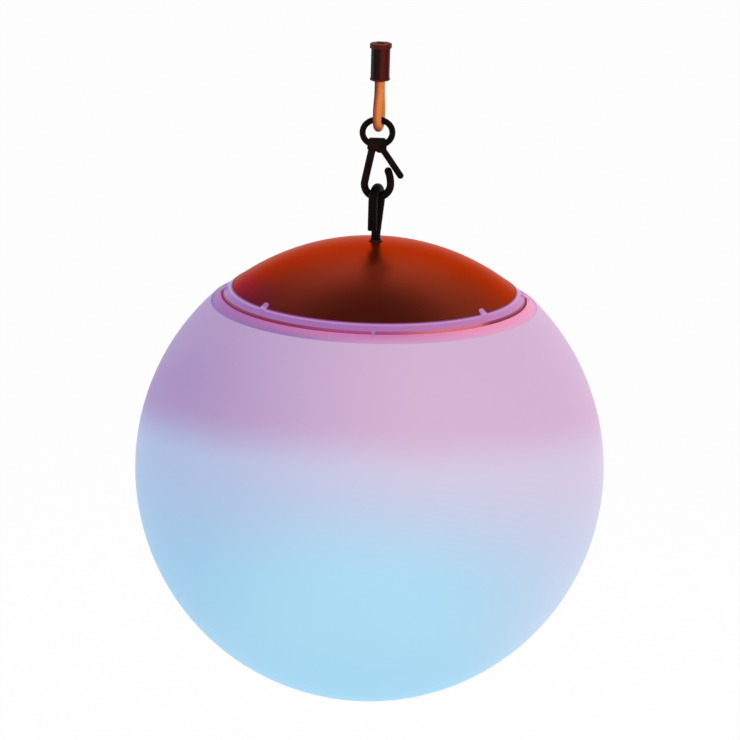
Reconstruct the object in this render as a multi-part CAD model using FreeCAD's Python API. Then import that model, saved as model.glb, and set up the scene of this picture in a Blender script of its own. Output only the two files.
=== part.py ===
import FreeCAD
import Part
import math
import os

# Garden globe light. A frosted globe twists into a domed cap, which holds the batteries and
# lamps and hangs by an open eye from a snap hook, a crimped cable loop and its sleeve.
#
# Millimetres, +Z up, front towards -Y. The origin is the mouth of the line socket at the top
# of the sleeve, on the hanging axis. A height named ..._z is measured from that origin. A height
# named ..._h is measured up from the globe's centre, and place() moves such a piece down to it.

# ---- Garden line, crimp sleeve and cable loop
line_diameter = 5.0         # line that the sleeve's open end takes
socket_play = 0.1           # room all round that line
socket_depth = 9.0
sleeve_length = 21.3
sleeve_half_width = 5.2     # middle of the sleeve out to its flat left and right sides
sleeve_half_side = 2.2      # half the width of those sides
sleeve_half_depth = 6.5     # middle of the sleeve out to its front and back faces
sleeve_half_face = 2.5
sleeve_round = 0.9          # rounding between the pressed faces
lip_height = 2.8
lip_flare = 0.8
foot_height = 1.4
foot_flare = 0.3
lip_round = 0.3
cable_radius = 2.5
strand_pitch = 5.6          # between the two cable strands inside the sleeve
strand_play = 0.05
socket_floor = 0.8          # sleeve left between the socket and the strands
loop_drop = 27.85           # sleeve's foot down to the cable's centre line at the loop's bottom
cable_stub = 5.0            # straight cable under the sleeve
spread_length = 14.0        # height in which the strands move apart
bend_room = 1.5             # how much wider the bend is than the bar in it
loop_turn = 11.0            # degrees that sleeve and loop are turned away from straight back

# ---- Snap hook
seat_gap = 0.4              # between two links where one hangs in the other
ring_bar = 1.8              # radius of the ring's round bar
ring_half_width = 8.65
ring_half_height = 7.6
ring_side_radius = 7.0
ring_offset = -0.6          # ring's centre, sideways from the hanging axis
sill_drop = 3.25            # ring's centre down to the flat sill of its window
hook_drop = 38.15           # ring's centre down to the bar's centre line at the hook's bottom
hook_bar = 2.2
hook_radius = 7.6
hook_offset = 0.2
leg_x = -2.9                # top of the hook's straight leg
leg_drop = 7.05
nose_rise = 8.0
nose_inset = 1.6
neck_thickness = 4.6
neck_height = 7.9
neck_half_width = 4.8
neck_round = 1.2
pivot_x = 1.3
pivot_drop = 7.95
knuckle_radius = 3.7
gate_bar = 1.9
gate_length = 21.0          # pivot to the centre of the gate's round tip
gate_gap = 0.3              # gate to the hook's nose at rest
gate_opening = 25.0         # degrees
tongue_thickness = 1.7
tongue_half_width = 1.8
tongue_play = 0.1
shoulder_gap = 0.25
pin_radius = 0.9
pin_play = 0.05
pin_proud = 0.2

# ---- Cap eye
eye_bar = 2.7
eye_radius = 7.0
eye_drop = 31.25            # eye's top centre line down to the cap's pad
eye_front = 23.8            # eye's top centre line down to the blunt front end
eye_slant = 20.0            # degrees that the back bar leans in towards the axis
eye_fillet = 12.0
eye_turn = 18.0             # degrees that the eye is turned away from straight back
shank_radius = 2.0
shank_play = 0.1
shank_length = 15.0
shoulder_radius = 2.9
shoulder_height = 0.8
seal_radius = 3.1
seal_height = 0.5
washer_radius = 5.5
washer_height = 1.3
nut_flats = 7.0
nut_height = 3.2

# ---- Dome
dome_inset = 1.5            # dome's surface inside the globe's sphere, about the same centre
dome_wall = 2.2
dome_base = 83.3            # outer radius of the dome's rim
rim_wall = 2.8
rim_depth = 4.65
pad_radius = 3.8
pad_height = 0.4
shank_boss = 9.0
shank_boss_depth = 5.3
screw_inset = 7.5           # dome's rim in to the circle of the tray's screws
screw_boss = 3.6

# ---- Translucent collar and its gasket
collar_gap = 0.3            # dome's rim to the collar's bead
bead_width = 5.4
bead_proud = 0.2            # bead's crest above the dome's surface
bead_slope = 1.4
bead_shoulder = 0.45
bead_drop = 1.3             # foot of the dome's rim down to the underside of the bead
flange_height = 2.4
flange_reach = 7.0          # circle of the tray's screws in to the flange's inner edge
skirt_inset = 1.0           # skirt's inner face inside the bead's inner face
skirt_wall = 2.4
skirt_depth = 12.0          # flange's top down to the skirt's foot
lug_count = 4
lug_half_angle = 18.0
lug_height = 2.6
lug_foot = 1.2              # skirt's foot up to the lug
lug_play = 0.4              # lug to the wall that it passes
lug_seat = 0.2              # globe's lugs above the collar's lugs
stop_height = 2.4
stop_angle = 3.0
stop_gap_angle = 1.5
claw_angle = 48.0           # each claw round from the front or from the back
claw_root = 6.4             # width of the claw at the bead's outer edge
claw_width = 2.8            # width at its tip
claw_reach = 1.3            # over the dome's rim
claw_height = 1.3           # claw's tip above the dome's surface
rib_height = 0.6            # claw's rib above the bead's crest
nub_width = 4.7
nub_reach = 2.6             # past the bead
nub_height = 0.6
nub_gap = 0.3               # nub above the globe's neck ring
gasket_tuck = 1.1           # gasket under the bead
gasket_show = 1.0           # gasket in the parting line
gasket_rise = 0.7           # lip of the gasket that stands up in the parting line
gasket_play = 0.1           # that lip to the bead
gasket_height = 2.2
gasket_gap = 0.2

# ---- Globe
globe_radius = 140.0
globe_wall = 2.4
neck_flange_width = 6.0
neck_flange_drop = 1.2      # neck ring's face below the globe's surface
neck_wall = 2.0
neck_tube_inset = 2.6       # parting line's outer edge in to the neck tube's bore
neck_foot = 2.0             # globe's lug down to the foot of the neck tube

# ---- Module tray
tray_play = 2.6             # tray's edge to the collar's skirt
tray_plate = 2.3
cell_radius = 7.25
cell_length = 49.5
cell_nub = 1.0
cell_nub_radius = 2.75
cell_pitch = 15.0
cell_play = 0.3
contact_plate = 0.5
contact_width = 11.0
contact_drop = 5.0          # cell's axis down to the contact plate's lower edge
spring_length = 5.6
spring_radius = 3.2
spring_tip_radius = 2.2
spring_wall = 0.5
bay_wall = 1.6
bay_inset = 16.2            # centre of the tray to the first bay wall
tray_wall = 2.0
bay_margin = 0.05           # corners of the battery bays to the tray's wall
post_place = 50.0
post_radius = 4.0
cover_thickness = 1.9

# ---- Screws: shank radius, head radius and head height
screw_shank = 1.5
screw_head = 2.8
screw_head_height = 1.8
screw_play = 0.2
screw_grip = 5.0            # length in the piece that holds the thread
fine_shank = 0.9
fine_head = 1.9
fine_head_height = 1.1
fine_grip = 1.5

# ---- Lamps, lens and drive electronics
led_board_radius = 17.0
board_thickness = 1.6
emitter_side = 5.0
emitter_height = 1.4
emitter_circle = 10.0
emitter_count = 6
lens_radius = 22.0
lens_height = 11.0
lens_wall = 1.5
lens_flange_radius = 28.0
lens_screw_count = 3
driver_radius = 36.0
driver_standoff = 1.6
standoff_radius = 3.0
standoff_circle = 30.0
driver_part_height = 3.0
lead_radius = 0.65
lead_pitch = 3.0
lead_count = 4
lead_place = 10.0
lead_play = 0.25
feed_bend = 1.5             # radius of the battery wires' bends
feed_arch = 2.6             # top of the battery wires' arches above the drive board
feed_circle = 33.5          # battery wires' pads on the drive board

# ---- Mode switch and button
button_room = 1.0           # lens's flange to the button's stem
switch_side = 10.0
switch_height = 5.0
button_stem = 4.0
button_play = 0.08
button_flange = 5.0
button_flange_height = 0.9
button_rest = 0.15          # flange above the cover
button_travel = 1.2
button_proud = 3.3
button_pin = 1.5
button_pin_play = 0.15
button_pin_entry = 0.6
button_stop_gap = 0.35

# ---- Chain of links, from the sleeve down to the globe's centre
sleeve_foot_z = -sleeve_length
bend_z = sleeve_foot_z - loop_drop
ring_top_z = bend_z + cable_radius + seat_gap + ring_bar
ring_z = ring_top_z - ring_half_height
hook_z = ring_z - hook_drop
eye_z = hook_z + hook_bar + seat_gap + eye_bar
pad_z = eye_z - eye_drop
dome_radius = globe_radius - dome_inset
globe_z = pad_z - pad_height - dome_radius

# ---- Heights above the globe's centre
pad_h = dome_radius + pad_height
boss_h = dome_radius - dome_wall - shank_boss_depth
rim_edge_h = math.sqrt(dome_radius**2 - dome_base**2)
rim_foot_h = rim_edge_h - rim_depth
flange_h = rim_foot_h - flange_height
plate_h = flange_h - tray_plate
cell_h = plate_h - cell_play - cell_radius
cover_top_h = cell_h - cell_radius - cell_play
cover_h = cover_top_h - cover_thickness
led_h = cover_h - board_thickness
driver_h = flange_h + driver_standoff
driver_top_h = driver_h + board_thickness
bead_h = rim_foot_h - bead_drop
skirt_foot_h = rim_foot_h - skirt_depth
lug_top_h = skirt_foot_h + lug_foot + lug_height
globe_lug_h = lug_top_h + lug_seat
gasket_h = bead_h - gasket_height
ledge_h = gasket_h - gasket_gap
button_h = cover_top_h + button_rest
switch_h = button_h + button_flange_height + button_travel + button_stop_gap

# ---- Radii from the hanging axis
bead_in = dome_base + collar_gap
bead_out = bead_in + bead_width
skirt_in = bead_in - skirt_inset
skirt_out = skirt_in + skirt_wall
gasket_in = bead_out - gasket_tuck
gasket_out = bead_out + gasket_show
neck_in = gasket_out + gasket_gap
neck_bore = neck_in - neck_tube_inset
neck_out = neck_in + neck_wall
neck_edge = neck_in + neck_flange_width
neck_sphere = globe_radius - neck_flange_drop
tray_radius = skirt_in - tray_play
screw_circle = dome_base - rim_wall - screw_inset
flange_inner = screw_circle - flange_reach
collar_lug_out = neck_bore - lug_play
globe_lug_in = skirt_out + lug_play

# ---- Battery bays
bay_half = (cell_length + cell_nub + spring_length) / 2 + contact_plate
bay_in = bay_inset + bay_wall
first_cell_x = bay_in + cell_play + cell_radius
bay_out = first_cell_x + cell_pitch + cell_radius + cell_play
bay_corner = math.hypot(bay_out + bay_wall, bay_half + bay_wall)
tray_wall_radius = bay_corner + bay_margin + tray_wall
switch_place = lens_flange_radius + button_stem + button_room

quarter = 90.0
eighth = 45.0


def vector(x, y, z):
    return FreeCAD.Vector(x, y, z)


def turned(shape, degrees):
    """A copy turned about the hanging axis."""
    copy = shape.copy()
    copy.rotate(vector(0, 0, 0), vector(0, 0, 1), degrees)
    return copy


def moved(shape, x, y, z):
    copy = shape.copy()
    copy.translate(vector(x, y, z))
    return copy


def place(shape):
    """Moves a piece that is modelled about the globe's centre to its place under the hook."""
    return moved(shape, 0, 0, globe_z)


def united(shapes):
    return shapes[0].fuse(shapes[1:]).removeSplitter()


def around(shape, count, start=0.0):
    """Evenly spaced copies about the hanging axis."""
    step = 360.0 / count
    return [turned(shape, start + step * number) for number in range(count)]


def rod_up(radius, low, high, x=0.0, y=0.0):
    """A vertical round bar."""
    return Part.makeCylinder(radius, high - low, vector(x, y, low))


def pipe_up(inner, outer, low, high):
    return rod_up(outer, low, high).cut(rod_up(inner, low, high))


def block(x_low, x_high, y_low, y_high, z_low, z_high):
    corner = vector(x_low, y_low, z_low)
    return Part.makeBox(x_high - x_low, y_high - y_low, z_high - z_low, corner)


def line(start, end):
    return Part.LineSegment(start, end).toShape()


def arc(start, middle, end):
    return Part.Arc(start, middle, end).toShape()


def on_plane(degrees):
    """Maps (across, height) to a vertical plane through the hanging axis.

    At 0 degrees across runs straight back, and at 90 degrees it runs to the right.
    """
    angle = math.radians(degrees)

    def point(across, z):
        return vector(across * math.sin(angle), across * math.cos(angle), z)

    return point


def rod_along(edges, radius):
    """A round bar along joined lines and arcs."""
    start = edges[0].valueAt(edges[0].FirstParameter)
    ahead = edges[0].tangentAt(edges[0].FirstParameter)
    section = Part.Wire([Part.makeCircle(radius, start, ahead)])
    return Part.Wire(edges).makePipeShell([section], True, False)


def arc_about(point, x, z, radius, start, end):
    """An arc in a plane, from one angle to another, in degrees up from the across direction."""
    def at(degrees):
        angle = math.radians(degrees)
        return point(x + radius * math.cos(angle), z + radius * math.sin(angle))

    return arc(at(start), at((start + end) / 2), at(end))


def spun(points):
    """A solid of revolution about the hanging axis, from its section's (radius, height) corners."""
    point = on_plane(quarter)
    corners = [point(radius, height) for radius, height in points]
    outline = Part.makePolygon(corners + corners[:1])
    return Part.Face(outline).revolve(vector(0, 0, 0), vector(0, 0, 1), 360)


def sphere_height(radius, out):
    """Height of a sphere's surface at a distance out from the axis."""
    return math.sqrt(radius**2 - out**2)


def sphere_band(inner, outer, low, high):
    """The shell between two spheres, between two radii from the axis, on the upper half."""
    shell = Part.makeSphere(outer).cut(Part.makeSphere(inner))
    return shell.common(pipe_up(low, high, 0, outer) if low else rod_up(high, 0, outer))


def screw(radius, head, head_height, length, seat):
    """A pan-head screw that points up, with its head under the seat."""
    body = rod_up(radius, seat, seat + length)
    cap = rod_up(head, seat - head_height, seat)
    rim = [edge for edge in cap.Edges if edge.BoundBox.ZMax < seat - head_height / 2]
    return united([body, cap.makeFillet(head_height / 3, rim[:1])])


def pressed_bar(grown, low, high):
    """An upright bar with the sleeve's eight-sided section, grown outwards."""
    wide = sleeve_half_width + grown
    side = sleeve_half_side + grown / 2
    deep = sleeve_half_depth + grown
    face = sleeve_half_face + grown / 2
    corners = [(wide, side), (face, deep), (-face, deep), (-wide, side)]
    corners += [(-x, -y) for x, y in corners]
    outline = [vector(x, y, low) for x, y in corners]
    bar = Part.Face(Part.makePolygon(outline + outline[:1])).extrude(vector(0, 0, high - low))
    upright = [edge for edge in bar.Edges if not level_edge(edge)]
    return bar.makeFillet(sleeve_round, upright)


# ---- Hanger

def crimp_sleeve():
    """The metal sleeve, pressed to flat faces, with a flared lip and a small foot."""
    reach = strand_pitch / 2
    barrel = pressed_bar(0, sleeve_foot_z, 0)
    lip = pressed_bar(lip_flare, -lip_height, 0)
    foot = pressed_bar(foot_flare, sleeve_foot_z, sleeve_foot_z + foot_height)
    lip = lip.makeFillet(lip_round, [edge for edge in lip.Edges if level_edge(edge)])
    foot = foot.makeFillet(lip_round, [edge for edge in foot.Edges if level_edge(edge)])
    body = united([barrel, lip, foot])
    socket = rod_up(line_diameter / 2 + socket_play, -socket_depth, 0)
    body = body.cut(socket)
    strand_top = -socket_depth - socket_floor
    for side in (-1, 1):
        hole = rod_up(cable_radius + strand_play, sleeve_foot_z, strand_top, 0, side * reach)
        body = body.cut(hole)
    return turned(body, -loop_turn)


def level_edge(edge):
    return edge.BoundBox.ZLength < lip_round / 10


def cable_route():
    """Down one strand, round the hook's ring and up the other strand."""
    point = on_plane(loop_turn)
    bend = ring_bar + cable_radius + bend_room
    reach = strand_pitch / 2
    spread = bend - reach
    turn = 2 * math.degrees(math.atan(spread / spread_length))
    ease = spread_length / 2 / math.sin(math.radians(turn))
    top = -socket_depth - socket_floor
    high = sleeve_foot_z - cable_stub
    low = high - spread_length
    centre = bend_z + bend
    down = [
        line(point(-reach, top), point(-reach, high)),
        arc_about(point, -reach - ease, high, ease, 0, -turn),
        arc_about(point, -bend + ease, low, ease, 180 - turn, 180),
        line(point(-bend, low), point(-bend, centre)),
        arc_about(point, 0, centre, bend, 180, 270),
    ]
    up = [
        arc_about(point, 0, centre, bend, 270, 360),
        line(point(bend, centre), point(bend, low)),
        arc_about(point, bend - ease, low, ease, 0, turn),
        arc_about(point, reach + ease, high, ease, 180 + turn, 180),
        line(point(reach, high), point(reach, top)),
    ]
    print("cable radii", round(ease, 2), round(bend, 2))
    return down + up


def cable_loop():
    route = cable_route()
    loop = rod_along(route, cable_radius)
    length = sum(edge.Length for edge in route)
    print("cable length", round(length, 1))
    print("cable volume / section x length", round(loop.Volume / (math.pi * cable_radius**2 * length), 4))
    return loop


# ---- Snap hook

side_view = on_plane(quarter)
pivot_z = ring_z - pivot_drop
hook_centre_z = hook_z + hook_radius
nose_x = hook_offset + hook_radius - nose_inset
nose_z = hook_centre_z + nose_rise


def gate_lean():
    """Degrees from straight down at which the gate lies against the outside of the nose."""
    across = nose_x - pivot_x
    down = pivot_z - nose_z
    reach = math.hypot(across, down)
    towards = math.degrees(math.atan2(across, down))
    return towards + math.degrees(math.asin((hook_bar + gate_bar + gate_gap) / reach))


def cross_rod(radius, x, z, thickness):
    """A round bar from front to back, centred on the hanging axis's plane."""
    return Part.makeCylinder(radius, thickness, vector(x, -thickness / 2, z), vector(0, 1, 0))


def ring():
    """An oval of four arcs, wider than high."""
    across = ring_half_width - ring_side_radius
    crown = (across**2 + ring_half_height**2 - ring_side_radius**2)
    crown = crown / (2 * (ring_half_height - ring_side_radius))
    rise = crown - ring_half_height
    lean = math.degrees(math.atan2(rise, across))
    x = ring_offset
    arcs = [
        arc_about(side_view, x + across, ring_z, ring_side_radius, -lean, lean),
        arc_about(side_view, x, ring_z - rise, crown, lean, 180 - lean),
        arc_about(side_view, x - across, ring_z, ring_side_radius, 180 - lean, 180 + lean),
        arc_about(side_view, x, ring_z + rise, crown, 180 + lean, 360 - lean),
    ]
    return rod_along(arcs, ring_bar)


def hook_bend():
    """The straight leg, the round bottom and the nose, as one bar."""
    top_z = ring_z - leg_drop
    across = hook_offset - leg_x
    down = hook_centre_z - top_z
    reach = math.hypot(across, down)
    turn = math.degrees(math.asin(hook_radius / reach))
    ahead = math.degrees(math.atan2(down, across)) - turn
    run = math.sqrt(reach**2 - hook_radius**2)
    angle = math.radians(ahead)
    touch = side_view(leg_x + run * math.cos(angle), top_z + run * math.sin(angle))
    nose = (nose_inset**2 + nose_rise**2) / (2 * nose_inset)
    nose_angle = math.degrees(math.asin(nose_rise / nose))
    bar = rod_along([
        line(side_view(leg_x, top_z), touch),
        arc_about(side_view, hook_offset, hook_centre_z, hook_radius, ahead + 270, 270),
        arc_about(side_view, hook_offset, hook_centre_z, hook_radius, 270, 360),
        arc_about(side_view, hook_offset + hook_radius - nose, hook_centre_z, nose, 0, nose_angle),
    ], hook_bar)
    tip = Part.makeSphere(hook_bar, side_view(nose_x, nose_z))
    return united([bar, tip])


def neck():
    """The thick middle between ring and leg, with the knuckle that the gate turns in."""
    top_z = ring_z - sill_drop
    foot_z = top_z - neck_height
    half = neck_thickness / 2
    corners = [
        (ring_offset - neck_half_width, top_z),
        (ring_offset + neck_half_width, top_z),
        (pivot_x + knuckle_radius, pivot_z),
        (pivot_x + knuckle_radius / 2, foot_z),
        (ring_offset, foot_z),
        (ring_offset - neck_half_width - neck_round, foot_z + neck_round),
    ]
    outline = [vector(x, -half, z) for x, z in corners]
    plate = Part.Face(Part.makePolygon(outline + outline[:1])).extrude(vector(0, neck_thickness, 0))
    plate = plate.makeFillet(neck_round, plate.Edges)
    return united([plate, cross_rod(knuckle_radius, pivot_x, pivot_z, neck_thickness)])


def gate_blade(half_width, thickness, lean, reach):
    """A flat bar from the pivot towards the gate's tip, round at the pivot."""
    half = thickness / 2
    blade = block(-half_width, half_width, -half, half, -reach, 0)
    blade.rotate(vector(0, 0, 0), vector(0, -1, 0), lean)
    blade.translate(vector(pivot_x, 0, pivot_z))
    return united([blade, cross_rod(half_width, pivot_x, pivot_z, thickness)])


def hook_body():
    body = united([ring(), hook_bend(), neck()])
    slot = tongue_half_width + shoulder_gap
    for lean in (gate_lean(), gate_lean() + gate_opening):
        reach = knuckle_radius + hook_bar
        body = body.cut(gate_blade(slot, tongue_thickness + 2 * tongue_play, lean, reach))
    return body.cut(cross_rod(pin_radius, pivot_x, pivot_z, 2 * neck_thickness))


def gate_pin():
    return cross_rod(pin_radius, pivot_x, pivot_z, neck_thickness + 2 * pin_proud)


def hook_gate():
    """The round gate bar, cut back clear of the knuckle, and the tongue that goes into it."""
    bar = rod_up(gate_bar, -gate_length, 0)
    bar = united([bar, Part.makeSphere(gate_bar, vector(0, 0, -gate_length))])
    bar.rotate(vector(0, 0, 0), vector(0, -1, 0), gate_lean())
    bar.translate(vector(pivot_x, 0, pivot_z))
    shoulder = knuckle_radius + shoulder_gap
    bar = bar.cut(cross_rod(shoulder, pivot_x, pivot_z, 2 * neck_thickness))
    tongue = gate_blade(tongue_half_width, tongue_thickness, gate_lean(), shoulder + gate_bar)
    gate = united([bar, tongue])
    return gate.cut(cross_rod(pin_radius + pin_play, pivot_x, pivot_z, 2 * neck_thickness))


# ---- Cap: eye and dome

def cap_eye():
    """A bar bent to an open eye: blunt end in front, slanted back bar and shank."""
    point = on_plane(eye_turn)
    centre_z = eye_z - eye_radius
    slant = math.radians(eye_slant)
    back_x = eye_radius * math.cos(slant)
    back_z = centre_z - eye_radius * math.sin(slant)
    meet_z = back_z - back_x / math.tan(slant)
    trim = eye_fillet * math.tan(slant / 2)
    turn_start = point(trim * math.sin(slant), meet_z + trim * math.cos(slant))
    shoulder_z = pad_z + seal_height + shoulder_height
    bar = rod_along([
        line(point(-eye_radius, eye_z - eye_front), point(-eye_radius, centre_z)),
        arc_about(point, 0, centre_z, eye_radius, 180, 90),
        arc_about(point, 0, centre_z, eye_radius, 90, -eye_slant),
        line(point(back_x, back_z), turn_start),
        arc_about(point, eye_fillet, meet_z - trim, eye_fillet, 180 - eye_slant, 180),
        line(point(0, meet_z - trim), point(0, shoulder_z - shoulder_height)),
    ], eye_bar)
    shoulder = rod_up(shoulder_radius, shoulder_z - shoulder_height, shoulder_z)
    shank = rod_up(shank_radius, pad_z - shank_length, shoulder_z)
    return united([bar, shoulder, shank])


def eye_seal():
    return moved(pipe_up(shank_radius, seal_radius, 0, seal_height), 0, 0, pad_z)


def eye_washer():
    return place(pipe_up(shank_radius + shank_play, washer_radius, boss_h - washer_height, boss_h))


def eye_nut():
    top = boss_h - washer_height
    corner = nut_flats / math.sqrt(3)
    hexagon = [on_plane(60.0 * number)(corner, top) for number in range(7)]
    nut = Part.Face(Part.makePolygon(hexagon)).extrude(vector(0, 0, -nut_height))
    return place(nut.cut(rod_up(shank_radius, top - nut_height, top)))


def dome_cap():
    """The domed shell with a straight rim, a pad and boss for the eye and four screw bosses."""
    inner = dome_radius - dome_wall
    rim_in = dome_base - rim_wall
    shell = sphere_band(inner, dome_radius, 0, dome_base)
    shell = shell.common(rod_up(dome_base, sphere_height(inner, rim_in), pad_h))
    rim = pipe_up(rim_in, dome_base, rim_foot_h, rim_edge_h)
    rim_top = pipe_up(rim_in, dome_base, rim_foot_h, pad_h).common(Part.makeSphere(dome_radius))
    pad = rod_up(pad_radius, inner, pad_h)
    boss = rod_up(shank_boss, boss_h, pad_h).common(Part.makeSphere(inner + dome_wall / 2))
    screw_seat = rod_up(screw_boss, rim_foot_h, pad_h, screw_circle)
    screw_seat = screw_seat.common(Part.makeSphere(inner + dome_wall / 2))
    seats = around(screw_seat, lug_count, eighth)
    body = united([shell, rim, rim_top, pad, boss] + seats)
    body = body.cut(rod_up(shank_radius + shank_play, boss_h, pad_h))
    thread = rod_up(screw_shank, rim_foot_h, rim_foot_h + screw_grip, screw_circle)
    return place(body.cut(around(thread, lug_count, eighth)))


# ---- Cap: collar and gasket

def ring_sector(inner, outer, low, high, half_angle):
    """A piece of a ring, centred on the X axis."""
    piece = Part.makeCylinder(outer, high - low, vector(0, 0, low), vector(0, 0, 1), 2 * half_angle)
    return turned(piece, -half_angle).cut(rod_up(inner, low, high))


def collar_ring():
    """The translucent ring: flange under the dome, rounded bead, skirt and bayonet lugs."""
    crest = dome_radius + bead_proud
    crest_in = bead_in + bead_slope
    crest_out = bead_out - bead_shoulder
    body = spun([
        (flange_inner, flange_h),
        (flange_inner, rim_foot_h),
        (bead_in, rim_foot_h),
        (bead_in, rim_edge_h),
        (crest_in, sphere_height(crest, crest_in)),
        (crest_out, sphere_height(crest, crest_out)),
        (bead_out, sphere_height(crest, bead_out) - bead_shoulder),
        (bead_out, bead_h),
        (skirt_out, bead_h),
        (skirt_out, skirt_foot_h),
        (skirt_in, skirt_foot_h),
        (skirt_in, flange_h),
    ])
    lug = ring_sector(skirt_in, collar_lug_out, lug_top_h - lug_height, lug_top_h, lug_half_angle)
    stop = ring_sector(skirt_in, collar_lug_out, lug_top_h, lug_top_h + stop_height, stop_angle / 2)
    stop = turned(stop, -lug_half_angle - stop_gap_angle - stop_angle / 2)
    pieces = around(lug, lug_count, eighth) + around(stop, lug_count, eighth)
    pieces += around(claw(), 2, quarter - claw_angle) + around(claw(), 2, quarter + claw_angle)
    body = united([body] + pieces + around(nub(), lug_count))
    hole = rod_up(screw_shank + screw_play, flange_h, rim_foot_h, screw_circle)
    return place(body.cut(around(hole, lug_count, eighth)))


def claw():
    """A tapered rib across the bead, with a lower tip that reaches over the dome's rim."""
    inside = dome_base - claw_reach
    outside = bead_out - bead_shoulder
    foot_h = sphere_height(dome_radius, bead_out)
    top_h = sphere_height(dome_radius + claw_height, inside)
    sides = [(-claw_root, foot_h), (claw_root, foot_h), (claw_width, top_h), (-claw_width, top_h)]
    outline = [vector(inside, width / 2, height) for width, height in sides]
    wedge = Part.Face(Part.makePolygon(outline + outline[:1])).extrude(vector(outside - inside, 0, 0))
    skin = Part.makeSphere(dome_radius + claw_height).cut(Part.makeSphere(dome_radius))
    tip = wedge.common(skin).cut(rod_up(bead_out, bead_h, pad_h).cut(rod_up(bead_in + bead_slope,
                                                                              bead_h, pad_h)))
    rib = wedge.cut(rod_up(bead_in, bead_h, pad_h))
    return united([tip, rib.common(Part.makeSphere(dome_radius + bead_proud + rib_height))])


def nub():
    """A pointer on the bead that reaches over the parting line."""
    root = bead_out - bead_shoulder - bead_slope
    low = neck_sphere + nub_gap
    corners = [(root, -nub_width / 2), (root, nub_width / 2), (bead_out + nub_reach, 0)]
    outline = [vector(x, y, bead_h) for x, y in corners]
    wedge = Part.Face(Part.makePolygon(outline + outline[:1])).extrude(vector(0, 0, rim_depth))
    skin = Part.makeSphere(low + nub_height).cut(Part.makeSphere(low))
    foot = block(root, bead_out, -nub_width / 2, nub_width / 2, bead_h, pad_h)
    foot = foot.common(Part.makeSphere(low + nub_height))
    return united([wedge.common(skin), wedge.common(foot)])


def neck_gasket():
    """A flat ring under the bead, with a lip that stands up in the parting line."""
    ring_part = pipe_up(gasket_in, gasket_out, gasket_h, bead_h)
    lip = pipe_up(bead_out + gasket_play, gasket_out, gasket_h, bead_h + gasket_rise)
    return place(united([ring_part, lip]))


# ---- Cap: tray, batteries and cover

def side_boxes(x_low, x_high, y_low, y_high, z_low, z_high):
    """The same block on the right and on the left."""
    right = block(x_low, x_high, y_low, y_high, z_low, z_high)
    return [right, block(-x_high, -x_low, y_low, y_high, z_low, z_high)]


def module_tray():
    """The round plate under the dome, with two battery bays, posts and a switch seat."""
    plate = rod_up(tray_radius, plate_h, flange_h)
    wall = pipe_up(tray_wall_radius - tray_wall, tray_wall_radius, cover_top_h, plate_h)
    frame_out = bay_out + bay_wall
    frame_half = bay_half + bay_wall
    frames = side_boxes(bay_inset, frame_out, -frame_half, frame_half, cover_top_h, plate_h)
    rooms = side_boxes(bay_in, bay_out, -bay_half, bay_half, cover_top_h, plate_h)
    inside = rod_up(tray_wall_radius, cover_top_h, plate_h)
    frames = [frame.cut(room).common(inside) for frame, room in zip(frames, rooms)]
    posts = [rod_up(post_radius, cover_top_h, plate_h, 0, side * post_place) for side in (-1, 1)]
    half = switch_side / 2
    seat = block(-half, half, -switch_place - half, half - switch_place, switch_h + switch_height, plate_h)
    standoff = rod_up(standoff_radius, flange_h, driver_h, standoff_circle)
    body = united([plate, wall] + frames + posts + [seat] + around(standoff, lug_count, eighth))
    hole = rod_up(screw_shank + screw_play, plate_h, flange_h, screw_circle)
    body = body.cut(around(hole, lug_count, eighth))
    for side in (-1, 1):
        body = body.cut(rod_up(screw_shank, cover_top_h, cover_top_h + screw_grip, 0, side * post_place))
    fine_hole = rod_up(fine_shank, driver_h - board_thickness - fine_grip, driver_h, standoff_circle)
    body = body.cut(around(fine_hole, lug_count, eighth))
    return place(body.cut([lead_hole(x, y, plate_h, flange_h) for x, y in lead_places() + feed_places()]))


def lead_places():
    """The row of lamp wires."""
    first = -lead_pitch * (lead_count - 1) / 2
    return [(first + lead_pitch * number, lead_place) for number in range(lead_count)]


def feed_places():
    """The battery wires, one at each single contact plate."""
    return [(x, bay_half - contact_plate / 2) for x, way in cell_rows()]


def lead_hole(x, y, low, high):
    return rod_up(lead_radius + lead_play, low, high, x, y)


def tray_screws():
    length = flange_h - plate_h + flange_height + screw_grip
    one = moved(screw(screw_shank, screw_head, screw_head_height, length, plate_h), screw_circle, 0, 0)
    return place(Part.makeCompound(around(one, lug_count, eighth)))


def cell_rows():
    """Each cell's x and the way that its raised pole points along Y."""
    rows = []
    for side in (-1, 1):
        rows.append((side * first_cell_x, 1))
        rows.append((side * (first_cell_x + cell_pitch), -1))
    return rows


def along_y(radius, tip_radius, length, start):
    """A round or tapered bar that lies along Y."""
    if radius == tip_radius:
        return Part.makeCylinder(radius, length, vector(0, start, 0), vector(0, 1, 0))
    return Part.makeCone(radius, tip_radius, length, vector(0, start, 0), vector(0, 1, 0))


def stood_in_row(shape, x, way):
    """A piece modelled with its cell's pole towards +Y, moved into its row."""
    copy = shape if way > 0 else turned(shape, 180)
    return moved(copy, x, 0, cell_h)


def battery_cells():
    """Each cell's case ends at its flat pole, and its raised pole touches the far contact."""
    pole = bay_half - contact_plate
    case_end = pole - cell_nub
    case = along_y(cell_radius, cell_radius, cell_length, case_end - cell_length)
    nub_pole = along_y(cell_nub_radius, cell_nub_radius, cell_nub, case_end)
    cell = united([case.makeFillet(cell_play, case.Edges), nub_pole])
    return place(Part.makeCompound([stood_in_row(cell, x, way) for x, way in cell_rows()]))


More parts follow.
